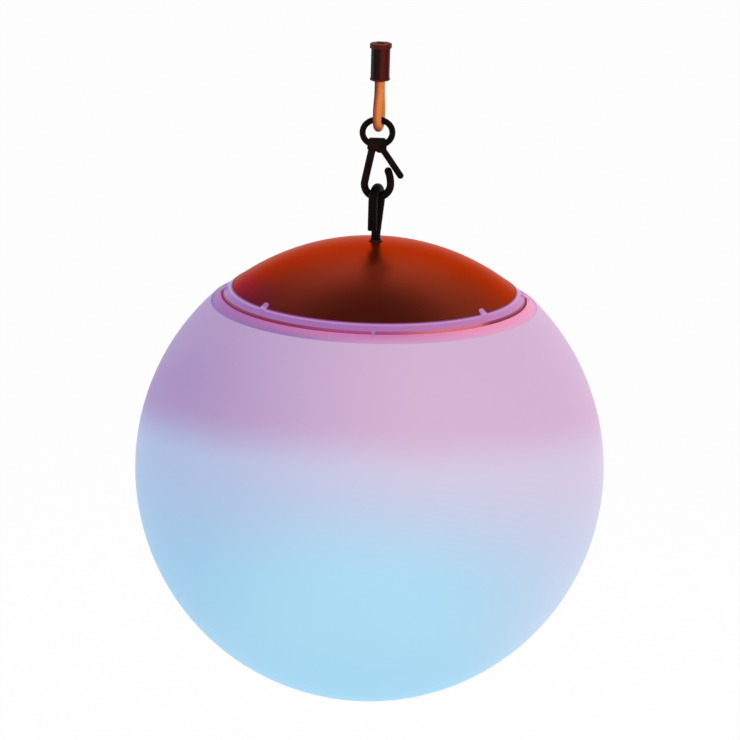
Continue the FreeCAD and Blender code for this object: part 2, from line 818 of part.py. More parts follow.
def contact_springs():
    """A tapered spring behind each cell's flat pole, drawn as its closed outer form."""
    start = contact_plate - bay_half
    outside = along_y(spring_radius, spring_tip_radius, spring_length, start)
    inside = along_y(spring_radius - spring_wall, spring_tip_radius - spring_wall, spring_length, start)
    spring = outside.cut(inside)
    return place(Part.makeCompound([stood_in_row(spring, x, way) for x, way in cell_rows()]))


def contact_plates():
    """Front: one plate that joins each pair of cells. Back: one plate for each cell."""
    plates = []
    half = contact_width / 2
    low = cell_h - contact_drop
    high = plate_h
    for side in (-1, 1):
        rows = [side * first_cell_x, side * (first_cell_x + cell_pitch)]
        ends = (min(rows) - half, max(rows) + half)
        plates.append(block(*ends, -bay_half, contact_plate - bay_half, low, high))
        for x in rows:
            plates.append(block(x - half, x + half, bay_half - contact_plate, bay_half, low, high))
    return place(Part.makeCompound(plates))


def cover_screw_places():
    return [(0, -post_place), (0, post_place)]


def lens_screw_places():
    middle = (lens_radius + lens_flange_radius) / 2
    turns = [quarter + 360.0 / lens_screw_count * number for number in range(lens_screw_count)]
    angles = [math.radians(turn) for turn in turns]
    return [(middle * math.cos(angle), middle * math.sin(angle)) for angle in angles]


def battery_cover():
    """The round lid under the bays, which also carries the lamps and guides the button."""
    body = rod_up(tray_wall_radius, cover_h, cover_top_h)
    holes = [rod_up(screw_shank + screw_play, cover_h, cover_top_h, x, y) for x, y in cover_screw_places()]
    holes += [rod_up(fine_shank, cover_h, cover_h + fine_grip, x, y) for x, y in lens_screw_places()]
    holes += [lead_hole(x, y, cover_h, cover_top_h) for x, y in lead_places()]
    holes.append(rod_up(button_stem + button_play, cover_h, cover_top_h, 0, -switch_place))
    return place(body.cut(holes))


def cover_screws():
    one = screw(screw_shank, screw_head, screw_head_height, cover_thickness + screw_grip, cover_h)
    return place(Part.makeCompound([moved(one, x, y, 0) for x, y in cover_screw_places()]))


# ---- Cap: switch and button

def pin_reach_h():
    """Top of the button's pin at rest."""
    return switch_h + button_pin_entry


def mode_switch():
    half = switch_side / 2
    top = switch_h + switch_height
    body = block(-half, half, -switch_place - half, half - switch_place, switch_h, top)
    hole_top = pin_reach_h() + button_travel + button_stop_gap
    return place(body.cut(rod_up(button_pin + button_pin_play, switch_h, hole_top, 0, -switch_place)))


def mode_button():
    y = -switch_place
    flange = rod_up(button_flange, button_h, button_h + button_flange_height, 0, y)
    stem = rod_up(button_stem, cover_h - button_proud, button_h, 0, y)
    face = [edge for edge in stem.Edges if edge.BoundBox.ZMax < cover_h]
    stem = stem.makeFillet(button_flange_height, face[:1])
    pin = rod_up(button_pin, button_h + button_flange_height, pin_reach_h(), 0, y)
    return place(united([flange, stem, pin]))


# ---- Cap: lamps and lens

def led_board():
    return place(rod_up(led_board_radius, led_h, cover_h))


def led_emitters():
    """One lamp in the middle and a ring of lamps round it."""
    half = emitter_side / 2
    lamp = block(-half, half, -half, half, led_h - emitter_height, led_h)
    ring_lamp = moved(lamp, emitter_circle, 0, 0)
    return place(Part.makeCompound([lamp] + around(ring_lamp, emitter_count)))


def lens_bowl(radius, foot):
    """A shallow cup that is round at its bottom edge."""
    cup = rod_up(radius, foot, cover_h)
    edges = [edge for edge in cup.Edges if edge.BoundBox.ZMax < cover_h - lens_wall]
    return cup.makeFillet((cover_h - foot) / 2, edges[:1])


def led_lens():
    foot = cover_h - lens_height
    flange = rod_up(lens_flange_radius, cover_h - lens_wall, cover_h)
    body = united([flange, lens_bowl(lens_radius, foot)])
    body = body.cut(lens_bowl(lens_radius - lens_wall, foot + lens_wall))
    holes = [rod_up(fine_shank, cover_h - lens_wall, cover_h, x, y) for x, y in lens_screw_places()]
    return place(body.cut(holes))


def lens_screws():
    seat = cover_h - lens_wall
    one = screw(fine_shank, fine_head, fine_head_height, lens_wall + fine_grip, seat)
    return place(Part.makeCompound([moved(one, x, y, 0) for x, y in lens_screw_places()]))


# ---- Cap: drive electronics and wires

def driver_board():
    body = rod_up(driver_radius, driver_h, driver_top_h)
    hole = rod_up(fine_shank, driver_h, driver_top_h, standoff_circle)
    body = body.cut(around(hole, lug_count, eighth))
    return place(body.cut([lead_hole(x, y, driver_h, driver_top_h) for x, y in lead_places()]))


def driver_parts():
    """A coil, two capacitors, a controller chip and a wire socket."""
    high = driver_top_h + driver_part_height
    side = 2 * driver_part_height
    coil = rod_up(side, driver_top_h, high, -side * 2, -side)
    caps = [rod_up(driver_part_height, driver_top_h, high, side * number, -side * 2) for number in (1, 2.5)]
    chip = block(0, side * 2, -side / 2, side, driver_top_h, driver_top_h + driver_part_height / 2)
    socket = block(-side, side, side * 2, side * 3, driver_top_h, high)
    return place(Part.makeCompound([coil, chip, socket] + caps))


def board_screws():
    """Pan heads on the board, shanks down into the standoffs."""
    shank = rod_up(fine_shank, driver_h - board_thickness - fine_grip, driver_top_h, standoff_circle)
    head = rod_up(fine_head, driver_top_h, driver_top_h + fine_head_height, standoff_circle)
    return place(Part.makeCompound(around(united([shank, head]), lug_count, eighth)))


def led_leads():
    wires = [rod_up(lead_radius, cover_h, driver_top_h, x, y) for x, y in lead_places()]
    return place(Part.makeCompound(wires))


def battery_lead(x, y):
    """Up from a contact plate, over the drive board's edge and down to its pad."""
    point = on_plane(math.degrees(math.atan2(x, y)))
    out = math.hypot(x, y)
    bend_h = driver_top_h + feed_arch - feed_bend
    return rod_along([
        line(point(out, plate_h), point(out, bend_h)),
        arc_about(point, out - feed_bend, bend_h, feed_bend, 0, quarter),
        line(point(out - feed_bend, bend_h + feed_bend), point(feed_circle + feed_bend, bend_h + feed_bend)),
        arc_about(point, feed_circle + feed_bend, bend_h, feed_bend, quarter, 2 * quarter),
        line(point(feed_circle, bend_h), point(feed_circle, driver_top_h)),
    ], lead_radius)


def battery_leads():
    return place(Part.makeCompound([battery_lead(x, y) for x, y in feed_places()]))


# ---- Globe

def globe_shell():
    shell = Part.makeSphere(globe_radius).cut(Part.makeSphere(globe_radius - globe_wall))
    return place(shell.cut(rod_up(neck_edge, 0, globe_radius)))


def neck_ring():
    """The ring set in the globe's mouth: low flange, tube, ledge and bayonet lugs."""
    foot = globe_lug_h - neck_foot
    flange = sphere_band(neck_sphere - globe_wall, neck_sphere, neck_out, neck_edge)
    tube = pipe_up(neck_bore, neck_out, foot, ledge_h)
    lip = pipe_up(neck_in, neck_out, foot, neck_sphere).common(Part.makeSphere(neck_sphere))
    lug = ring_sector(globe_lug_in, neck_out, globe_lug_h, globe_lug_h + lug_height, lug_half_angle)
    return place(united([flange, tube, lip] + around(lug, lug_count, eighth)))


nodes = {
    "crimp_sleeve": crimp_sleeve,
    "cable_loop": cable_loop,
    "hook_body": hook_body,
    "gate_pin": gate_pin,
    "hook_gate": hook_gate,
    "cap_eye": cap_eye,
    "eye_seal": eye_seal,
    "eye_washer": eye_washer,
    "eye_nut": eye_nut,
    "dome_cap": dome_cap,
    "collar_ring": collar_ring,
    "neck_gasket": neck_gasket,
    "module_tray": module_tray,
    "tray_screws": tray_screws,
    "battery_cells": battery_cells,
    "contact_springs": contact_springs,
    "contact_plates": contact_plates,
    "battery_cover": battery_cover,
    "cover_screws": cover_screws,
    "mode_switch": mode_switch,
    "mode_button": mode_button,
    "led_board": led_board,
    "led_emitters": led_emitters,
    "led_lens": led_lens,
    "lens_screws": lens_screws,
    "driver_board": driver_board,
    "driver_parts": driver_parts,
    "board_screws": board_screws,
    "led_leads": led_leads,
    "battery_leads": battery_leads,
    "neck_ring": neck_ring,
    "globe_shell": globe_shell,
}

os.makedirs("parts", exist_ok=True)
for name, make in nodes.items():
    shape = make()
    shape.exportStep("parts/" + name + ".step")
    box = shape.BoundBox
    print(name, len(shape.Solids), shape.isValid(), round(shape.Volume, 1),
          [round(value, 2) for value in (box.XMin, box.XMax, box.YMin, box.YMax, box.ZMin, box.ZMax)])
print("globe centre", round(globe_z, 3), "gate lean", round(gate_lean(), 2),
      "pivot", round(pivot_z, 3), "bend", round(bend_z, 3), "hook", round(hook_z, 3))
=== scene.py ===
import math

import bpy
from mathutils import Matrix, Vector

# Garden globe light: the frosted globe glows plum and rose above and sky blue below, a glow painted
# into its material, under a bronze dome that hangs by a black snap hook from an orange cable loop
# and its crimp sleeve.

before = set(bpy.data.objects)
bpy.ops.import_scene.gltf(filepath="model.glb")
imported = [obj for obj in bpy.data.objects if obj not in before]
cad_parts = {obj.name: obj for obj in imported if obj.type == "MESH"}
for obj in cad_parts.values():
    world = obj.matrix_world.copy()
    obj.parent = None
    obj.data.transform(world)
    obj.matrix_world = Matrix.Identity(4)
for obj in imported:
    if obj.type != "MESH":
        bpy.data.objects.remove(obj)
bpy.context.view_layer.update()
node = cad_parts

GLOBE_Z = -0.25505          # centre of the globe
GLOBE_R = 0.140
CAMERA_RANGE = 1.68         # camera to the globe's centre
CAMERA_RISE = 17.5          # degrees above level
CAMERA_ROLL = 1.56          # degrees, the right side lower
PIXEL_FOCUS = 2800.6        # focal length in pixels of a 740 pixel frame
GLOBE_PIXEL = (369.45, 466.29)
FRAME_PIXELS = 740

# Radii about the hanging axis, and a distance from the globe's centre
DOME_R = 0.083              # the dome's rim
PAD_EDGE = (0.0036, 0.0046)
CREST_R = 0.0850            # the collar's inner crest
COLLAR_FOOT = (0.0838, 0.0846)
COLLAR_WALL = (0.0881, 0.0887)
COLLAR_R = 0.089
GASKET_R = 0.09
NECK_R = 0.096
RAISED = (0.1388, 0.1390)   # the claws and nubs stand out past this

X = (1.0, 0.0, 0.0)
Y = (0.0, 1.0, 0.0)
Z = (0.0, 0.0, 1.0)
WHITE = (1.0, 1.0, 1.0)


# ---- Shader tools

class Number:
    """One output of a material's node. Python sums on it add Math nodes."""

    def __init__(self, finish, socket):
        self.finish = finish
        self.socket = socket

    def maths(self, operation, *values):
        inputs = dict(enumerate(values))
        return self.finish.add("ShaderNodeMath", {"operation": operation}, inputs)

    def __add__(self, other):
        return self.maths("ADD", self, other)

    def __radd__(self, other):
        return self.maths("ADD", other, self)

    def __sub__(self, other):
        return self.maths("SUBTRACT", self, other)

    def __rsub__(self, other):
        return self.maths("SUBTRACT", other, self)

    def __mul__(self, other):
        return self.maths("MULTIPLY", self, other)

    def __rmul__(self, other):
        return self.maths("MULTIPLY", other, self)

    def __abs__(self):
        return self.maths("ABSOLUTE", self)

    def root(self):
        return self.maths("SQRT", self)

    def wave(self):
        return self.maths("SINE", self)

    def step(self, low, high):
        """A smooth rise from 0 at low to 1 at high."""
        ends = {"Value": self, "From Min": low, "From Max": high}
        return self.finish.add("ShaderNodeMapRange", {"interpolation_type": "SMOOTHSTEP"}, ends)

    def bump_at(self, centre, width):
        """1 at the centre, falling smoothly to 0 at that width on each side."""
        return 1 - abs(self - centre).step(0.0, width)


class Finish:
    """A material or a world, made node by node."""

    def __init__(self, name, of_world=False):
        kept_in = bpy.data.worlds if of_world else bpy.data.materials
        self.material = kept_in.new(name)
        self.material.use_nodes = True
        self.tree = self.material.node_tree
        self.tree.nodes.clear()

    def add(self, kind, settings, inputs, output=0):
        made = self.tree.nodes.new(kind)
        for name, value in settings.items():
            if name == "stops":
                ramp = made.color_ramp
                ramp.interpolation = "EASE"
                for element, stop in ((ramp.elements[0], value[0]), (ramp.elements[1], value[-1])):
                    element.position = stop[0]
                    element.color = (*(stop[1],) * 3, 1.0)
                for position, level in value[1:-1]:
                    ramp.elements.new(position).color = (*(level,) * 3, 1.0)
            else:
                setattr(made, name, value)
        for name, value in inputs.items():
            self.feed(made.inputs[name], value)
        return Number(self, made.outputs[output]) if made.outputs else None

    def feed(self, socket, value):
        if isinstance(value, Number):
            self.tree.links.new(value.socket, socket)
        elif socket.type == "RGBA":
            socket.default_value = (*value, 1.0)
        else:
            socket.default_value = value

    def spot(self, centre=(0.0, 0.0, 0.0)):
        """Object coordinates, measured from a centre."""
        place = self.add("ShaderNodeTexCoord", {}, {}, "Object")
        return self.add("ShaderNodeVectorMath", {"operation": "SUBTRACT"}, {0: place, 1: centre})

    def along(self, place, direction):
        """How far a place lies along a direction."""
        settings = {"operation": "DOT_PRODUCT"}
        return self.add("ShaderNodeVectorMath", settings, {0: place, 1: direction}, "Value")

    def stretched(self, place, scale):
        return self.add("ShaderNodeVectorMath", {"operation": "MULTIPLY"}, {0: place, 1: scale})

    def length(self, place):
        return self.add("ShaderNodeVectorMath", {"operation": "LENGTH"}, {0: place}, "Value")

    def radius(self, place):
        """Distance out from the hanging axis."""
        return self.length(self.stretched(place, (1.0, 1.0, 0.0)))

    def noise(self, place, scale, detail=3.0, rough=0.5):
        inputs = {"Vector": place, "Scale": scale, "Detail": detail, "Roughness": rough}
        return self.add("ShaderNodeTexNoise", {}, inputs)

    def cells(self, place, scale, feature="F1"):
        settings = {"feature": feature}
        return self.add("ShaderNodeTexVoronoi", settings, {"Vector": place, "Scale": scale})

    def grey_ramp(self, value, stops):
        """Grey levels at positions from 0 to 1."""
        return self.add("ShaderNodeValToRGB", {"stops": stops}, {"Fac": value})

    def blend(self, part, first, second, kind="MIX"):
        """Colours: first where part is 0, second where it is 1."""
        settings = {"data_type": "RGBA", "blend_type": kind, "clamp_factor": True}
        return self.add("ShaderNodeMix", settings, {0: part, 6: first, 7: second}, 2)

    def relief(self, height, depth, strength=1.0, under=None):
        inputs = {"Height": height, "Distance": depth, "Strength": strength}
        if under is not None:
            inputs["Normal"] = under
        return self.add("ShaderNodeBump", {}, inputs)

    def shader(self, colour, roughness, **sockets):
        inputs = {"Base Color": colour, "Roughness": roughness}
        for name, value in sockets.items():
            inputs[name.replace("_", " ").title().replace("Ior", "IOR")] = value
        return self.add("ShaderNodeBsdfPrincipled", {}, inputs)

    def close(self, shader):
        self.add("ShaderNodeOutputMaterial", {}, {"Surface": shader})
        return self.material

    def surface(self, colour, roughness, **sockets):
        return self.close(self.shader(colour, roughness, **sockets))


def tone(red, green, blue):
    """A colour as it shows on a screen, 0 to 255, as the shader's own linear colour."""
    made = []
    for value in (red, green, blue):
        part = value / 255.0
        made.append(part / 12.92 if part <= 0.04045 else ((part + 0.055) / 1.055) ** 2.4)
    return tuple(made)


def share(colour, part):
    return tuple(value * part for value in colour)


# ---- Finishes of the globe, its collar and the dome

PLUM = tone(166, 142, 195)
ROSE = tone(214, 179, 212)
LAVENDER = tone(172, 191, 229)
BLUSH = tone(216, 202, 228)
SKY = tone(158, 205, 238)
AQUA = tone(174, 226, 250)
MIST = tone(198, 213, 238)
DEEP_SKY = tone(154, 214, 247)
ORCHID = tone(203, 122, 176)
CORAL = tone(242, 146, 186)
VIOLET = tone(166, 110, 178)
WINE = tone(132, 42, 74)
SALMON = tone(216, 112, 118)
GLOW_SHARE = 0.72


def lit_plastic(finish, colour, roughness, glow=GLOW_SHARE, **sockets):
    """Plastic that shows a colour partly by emission: on the globe, its neck, the collar, the
    gasket and the lens a painted glow standing in for light from inside, on the LED faces the
    lamps' own light.
    """
    dim = finish.blend(1.0, colour, (1.0 - glow,) * 3, "MULTIPLY")
    return finish.surface(dim, roughness, emission_color=colour, emission_strength=glow, **sockets)


def globe_painted_glow(finish):
    """A painted glow standing in for the LEDs' light: plum and rose above, sky and mist below, with
    a soft uneven border.
    """
    place = finish.spot((0.0, 0.0, GLOBE_Z))
    unit = finish.stretched(place, (1.0 / GLOBE_R,) * 3)
    side = finish.along(unit, X)
    front = finish.along(unit, Y)
    height = finish.along(unit, Z)
    cloud = finish.noise(unit, 1.4, 2.0) - 0.5
    level = height * 0.954 - (front * front + 0.02).root() * 0.30 + 0.02 + cloud * 0.07
    right = side.step(-1.1, 0.32)
    upper = finish.blend(right, PLUM, ROSE)
    middle = finish.blend(right, LAVENDER, BLUSH)
    across = (side * side + (level + 0.62) * (level + 0.62)).root()
    lower = finish.blend(side.step(-0.3, 0.95), SKY, MIST)
    # Painted glow: a brighter aqua pool towards the lower centre, then deeper sky towards the
    # bottom.
    lower = finish.blend((1 - across.step(0.15, 0.95)) * 0.9, lower, AQUA)
    lower = finish.blend((1 - level.step(-0.98, -0.62)) * 0.55, lower, DEEP_SKY)
    border = level + (1 - side * side) * 0.10
    colour = finish.blend(border.step(0.06, 0.29), middle, upper)
    colour = finish.blend(1 - level.step(-0.50, 0.13), colour, lower)
    # Painted glow: a darker plum band on the left, in the upper colours.
    streak = level.bump_at(0.36, 0.16) * (1 - side.step(-1.0, -0.35))
    colour = finish.blend(streak * 0.3, colour, tone(158, 128, 188))
    return colour, unit


def frosted_globe():
    """The globe's painted glow under a fine sanded grain."""
    finish = Finish("frosted_globe_lit")
    colour, unit = globe_painted_glow(finish)
    grain = finish.noise(unit, 160.0, 2.0)
    sand = finish.noise(unit, 620.0, 1.0)
    normal = finish.relief(sand, 0.00006, 0.25)
    colour = finish.blend(grain * 0.04, colour, (0.9, 0.92, 1.0))
    return lit_plastic(finish, colour, 0.50 + grain * 0.10, normal=normal, specular_ior_level=0.2)


def neck_band():
    """Hot pink against the parting line, which fades out to the globe's own tint: a painted glow,
    with a painted shade line at the outer edge.
    """
    finish = Finish("globe_neck_lit")
    place = finish.spot((0.0, 0.0, GLOBE_Z))
    side = finish.along(place, (1.0 / NECK_R, 0.0, 0.0))
    out = finish.radius(place)
    # Painted glow by side: mauve on the left, orchid in front, coral on the right.
    glow = finish.blend(side.step(-0.05, 0.75), ORCHID, CORAL)
    glow = finish.blend(1 - side.step(-0.95, -0.25), glow, tone(172, 106, 176))
    plain = finish.blend(side.step(-0.6, 0.1), tone(146, 114, 178), tone(206, 156, 198))
    plain = finish.blend(side.step(0.2, 0.8), plain, tone(226, 162, 202))
    colour = finish.blend(out.step(0.0905, 0.0955), glow, plain)
    # Painted shade: a faint darker line along the band's outer edge, at its step to the globe.
    colour = finish.blend(out.step(0.0954, 0.0962) * 0.35, colour, tone(136, 104, 168))
    grain = finish.noise(place, 900.0, 2.0)
    normal = finish.relief(grain, 0.00005, 0.3)
    return lit_plastic(finish, colour, 0.45 + grain * 0.1, normal=normal, specular_ior_level=0.25)


def seam_red_and_painted_light(finish, side):
    """The parting line's red with painted light and shade by side: dark wine on the left, faint in
    front, lit salmon and then brown on the right.
    """
    colour = finish.blend(side.step(-0.75, -0.1), WINE, tone(164, 66, 120))
    colour = finish.blend(side.step(0.05, 0.45), colour, SALMON)
    return finish.blend(side.step(0.66, 0.76), colour, tone(138, 46, 72))


def collar():
    """Violet painted glow, with a painted highlight on the inner crest, a dark foot against the
    dome that is painted shade, and a red outer wall painted with the parting line's light.
    """
    finish = Finish("collar_lit")
    place = finish.spot((0.0, 0.0, GLOBE_Z))
    side = finish.along(place, (1.0 / COLLAR_R, 0.0, 0.0))
    out = finish.radius(place)
    cloud = finish.noise(place, 60.0, 2.0)
    # Painted glow by side: pinker on the right, bluer violet on the left.
    colour = finish.blend(side.step(-0.4, 0.9), VIOLET, tone(198, 126, 180))
    colour = finish.blend((1 - side.step(-1.0, -0.55)) * 0.6, colour, tone(150, 112, 186))
    colour = finish.blend(cloud * 0.16, colour, tone(150, 84, 172))
    # Painted highlight: a pale line along the inner crest.
    colour = finish.blend(out.bump_at(CREST_R, 0.0008) * 0.6, colour, tone(204, 158, 214))
    raised = finish.length(place).step(*RAISED)
    # Painted shade: dark plum at the foot, in the gap against the dome.
    foot = (1 - out.step(*COLLAR_FOOT)) * (1 - raised)
    colour = finish.blend(foot, colour, tone(118, 46, 92))
    # Painted light: the outer wall takes the parting line's red, standing in for the gasket's light
    # and shade beside it.
    wall = out.step(*COLLAR_WALL) * (1 - raised)
    colour = finish.blend(wall, colour, seam_red_and_painted_light(finish, side))
    grain = finish.noise(place, 1400.0, 2.0)
    normal = finish.relief(grain, 0.00004, 0.25)
    return lit_plastic(finish, colour, 0.34 + grain * 0.12, normal=normal, specular_ior_level=0.35)


def gasket():
    # Red rubber with a painted glow, and painted light and shade by side from the parting line's
    # colours; the grain darkens it at random.
    finish = Finish("gasket_rubber_red_painted_glow")
    place = finish.spot()
    side = finish.along(place, (1.0 / GASKET_R, 0.0, 0.0))
    grain = finish.noise(place, 1800.0, 2.0)
    colour = finish.blend(grain * 0.3, seam_red_and_painted_light(finish, side), share(WINE, 0.5))
    normal = finish.relief(grain, 0.00005, 0.4)
    return lit_plastic(finish, colour, 0.75, glow=0.5, normal=normal)


def bronze_cap():
    """Glossy bronze coat with painted light: pinker on the left and more orange on the right, a
    painted pink reflection of the collar along the left edge, and painted shade and reflection
    round the eye's foot.
    """
    finish = Finish("bronze_coat_painted_light")
    place = finish.spot((0.0, 0.0, GLOBE_Z))
    side = finish.along(place, (1.0 / DOME_R, 0.0, 0.0))
    out = finish.radius(place)
    cloud = finish.noise(place, 18.0, 3.0, 0.6)
    # Painted light by side: pinker red on the left, more orange on the right.
    colour = finish.blend(side.step(-0.9, 0.6), tone(186, 76, 62), tone(200, 82, 58))
    colour = finish.blend(cloud.step(0.3, 0.7) * 0.3, colour, tone(182, 66, 46))
    # Painted reflection: pink from the glowing collar along the dome's left edge.
    left = (1 - side.step(-1.02, -0.5)) * out.step(0.055, DOME_R)
    colour = finish.blend(left * 0.7, colour, tone(160, 62, 112))
    # Painted shade and reflection of the black eye: the pad round its foot is dark.
    colour = finish.blend(1 - out.step(*PAD_EDGE), colour, tone(70, 20, 14))
    flake = finish.noise(place, 5200.0, 1.0)
    rub = finish.noise(finish.stretched(place, (1.0, 1.0, 0.3)), 240.0, 3.0, 0.6)
    roughness = 0.26 + rub * 0.06 + cloud * 0.04
    normal = finish.relief(flake, 0.000008, 0.12)
    normal = finish.relief(cloud, 0.0006, 0.05, normal)
    return finish.surface(colour, roughness, metallic=1.0, normal=normal,
                          specular_tint=tone(231, 158, 142), sheen_weight=0.35,
                          sheen_roughness=0.3, sheen_tint=tone(200, 66, 32))


# ---- Finishes of the hanging gear

def black_nylon():
    finish = Finish("black_nylon_moulding")
    place = finish.spot()
    grain = finish.noise(place, 900.0, 3.0)
    wear = finish.noise(place, 140.0, 3.0, 0.6)
    colour = finish.blend(wear.step(0.45, 0.75), tone(15, 9, 9), tone(34, 15, 12))
    normal = finish.relief(grain, 0.00008, 0.3)
    # The reddish-brown sheen tint stands in for warm light catching the edges.
    return finish.surface(colour, 0.46 + grain * 0.14, normal=normal, specular_ior_level=0.05,
                          sheen_weight=0.12, sheen_roughness=0.3, sheen_tint=tone(176, 56, 28))


def black_steel():
    finish = Finish("black_coated_steel")
    place = finish.spot()
    orange_peel = finish.noise(place, 700.0, 2.0)
    wear = finish.noise(place, 220.0, 4.0, 0.65)
    bare = wear.step(0.62, 0.72)
    colour = finish.blend(bare * 0.4, tone(12, 8, 8), tone(70, 26, 18))
    normal = finish.relief(orange_peel, 0.0001, 0.3)
    # The reddish-brown sheen tint stands in for warm light catching the edges.
    return finish.surface(colour, 0.42 + orange_peel * 0.12, normal=normal, specular_ior_level=0.04,
                          sheen_weight=0.16, sheen_roughness=0.3, sheen_tint=tone(180, 54, 26))


def cable_coat():
    """Orange, with painted shade: dark brown along its left and red-brown round the bend."""
    finish = Finish("orange_cable_coat_painted_shade")
    place = finish.spot()
    height = finish.along(place, Z)
    # Moves the painted shade left where the front strand leans out at mid height.
    side = finish.along(place, X) + height.bump_at(-0.040, 0.016) * 0.0011
    lay = finish.along(place, (900.0, 0.0, 1500.0)).wave() * 0.5 + 0.5
    cloud = finish.noise(place, 160.0, 2.0)
    colour = finish.blend(lay * 0.12, tone(236, 136, 62), tone(212, 108, 46))
    # Painted shade down the strands' left side: brown, then dark brown at the edge.
    colour = finish.blend(1 - side.step(-0.0018, 0.0006), colour, tone(168, 70, 34))
    colour = finish.blend(1 - side.step(-0.0026, -0.0014), colour, tone(74, 22, 12))
    # Painted shade round the bend under the ring: red-brown.
    colour = finish.blend(1 - height.step(-0.0515, -0.0455), colour, tone(164, 54, 38))
    normal = finish.relief(lay, 0.0001, 0.15)
    return finish.surface(colour, 0.34 + cloud * 0.1, normal=normal, specular_ior_level=0.2)


def dark_sleeve():
    """Dark brown pressed metal with painted light and shade: darkest on the left, a redder painted
    highlight stripe down the middle, and painted highlights on both lips.
    """
    finish = Finish("dark_crimped_metal_painted_light")
    place = finish.spot()
    drawn = finish.noise(finish.stretched(place, (1.0, 1.0, 0.06)), 1500.0, 3.0, 0.6)
    wear = finish.noise(place, 260.0, 4.0, 0.65)
    side = finish.along(place, X) + drawn * 0.0006
    height = finish.along(place, Z)
    # Painted light and shade across the faces: darkest on the left, a redder highlight stripe down
    # the middle, darker again towards the right.
    colour = finish.blend(side.step(-0.0042, -0.0014), tone(16, 8, 8), tone(34, 18, 12))
    colour = finish.blend(side.step(-0.0006, 0.0008), colour, tone(88, 26, 20))
    colour = finish.blend(side.step(0.0022, 0.0036), colour, tone(70, 12, 8))
    # Painted highlights on the top and bottom lips.
    lips = height.step(-0.0030, -0.0020) + (1 - height.step(-0.0205, -0.0195))
    colour = finish.blend(lips * 0.6, colour, tone(104, 30, 18))
    colour = finish.blend(wear.step(0.6, 0.8) * 0.3, colour, tone(120, 48, 32))
    normal = finish.relief(drawn, 0.0001, 0.4)
    return finish.surface(colour, 0.42 + wear * 0.15, normal=normal, specular_ior_level=0.05)


# ---- Finishes inside the cap

def plain_plastic(name, light, shade, roughness=0.5, grain_scale=900.0):
    finish = Finish(name)
    place = finish.spot()
    cloud = finish.noise(place, 40.0, 2.0)
    grain = finish.noise(place, grain_scale, 2.0)
    colour = finish.blend(cloud, light, shade)
    normal = finish.relief(grain, 0.00006, 0.3)
    return finish.surface(colour, roughness + grain * 0.1, normal=normal)


def turned_steel(name, colour, roughness=0.25):
    finish = Finish(name)
    place = finish.spot()
    lines = finish.noise(finish.stretched(place, (1.0, 1.0, 12.0)), 600.0, 2.0, 0.7)
    dull = finish.noise(place, 120.0, 3.0)
    shown = finish.blend(dull * 0.4, colour, share(colour, 0.6))
    normal = finish.relief(lines, 0.00004, 0.4)
    return finish.surface(shown, roughness + lines * 0.2, metallic=1.0, normal=normal)


def circuit_board():
    finish = Finish("green_solder_mask")
    place = finish.spot()
    tracks = finish.cells(place, 330.0, "DISTANCE_TO_EDGE").step(0.04, 0.07)
    pads = 1 - finish.cells(place, 210.0).step(0.10, 0.14)
    colour = finish.blend(tracks, tone(30, 120, 66), tone(16, 82, 44))
    colour = finish.blend(pads, colour, tone(205, 190, 140))
    normal = finish.relief(tracks, 0.00004, 0.5)
    return finish.surface(colour, 0.3 + pads * 0.1, metallic=pads * 0.7, normal=normal,
                          coat_weight=0.3, coat_roughness=0.15)


def cell_wrap():
    finish = Finish("cell_foil_wrap")
    place = finish.spot()
    across = finish.noise(finish.stretched(place, (0.2, 1.0, 1.0)), 400.0, 2.0)
    side = abs(finish.along(place, X))
    band = side.step(0.0095, 0.0101)
    colour = finish.blend(band, tone(52, 96, 150), tone(196, 200, 205))
    colour = finish.blend(across * 0.15, colour, (0.02, 0.03, 0.05))
    normal = finish.relief(across, 0.00003, 0.3)
    return finish.surface(colour, 0.3, metallic=0.35, normal=normal, coat_weight=0.4,
                          coat_roughness=0.15)


def lamp_face():
    finish = Finish("lamp_resin")
    place = finish.spot()
    cloud = finish.noise(place, 500.0, 2.0)
    die = 1 - finish.cells(place, 260.0).step(0.15, 0.5)
    colour = finish.blend(die, tone(250, 238, 200), tone(255, 250, 236))
    return lit_plastic(finish, colour, 0.15 + cloud * 0.1, glow=0.6)


def lens_plastic():
    finish = Finish("opal_lens_painted_glow")
    place = finish.spot((0.0, 0.0, GLOBE_Z))
    rings = finish.radius(place)
    grain = finish.noise(place, 800.0, 2.0)
    colour = finish.blend(rings.step(0.0, 0.04), tone(252, 250, 255), tone(222, 224, 240))
    normal = finish.relief((rings * 5200.0).wave(), 0.00008, 0.4)
    # Painted glow: the lens shows the LEDs' light as its own emission.
    return lit_plastic(finish, colour, 0.35 + grain * 0.1, glow=0.4, normal=normal)


def wire_coat(name, colour):
    finish = Finish(name)
    place = finish.spot()
    cloud = finish.noise(place, 300.0, 2.0)
    shown = finish.blend(cloud * 0.4, colour, share(colour, 0.55))
    normal = finish.relief(cloud, 0.0001, 0.2)
    return finish.surface(shown, 0.4 + cloud * 0.1, normal=normal, coat_weight=0.2)


# ---- Each CAD node's finish

steel = turned_steel("bright_steel", tone(205, 205, 210))
white = plain_plastic("white_abs", tone(226, 226, 222), tone(212, 212, 208))
chips = plain_plastic("chip_resin", tone(34, 34, 37), tone(24, 24, 26), 0.55)
contacts = turned_steel("nickel_plate", tone(214, 208, 190), 0.2)
board = circuit_board()
leads = wire_coat("red_wire_coat", tone(178, 34, 32))
nylon = black_nylon()

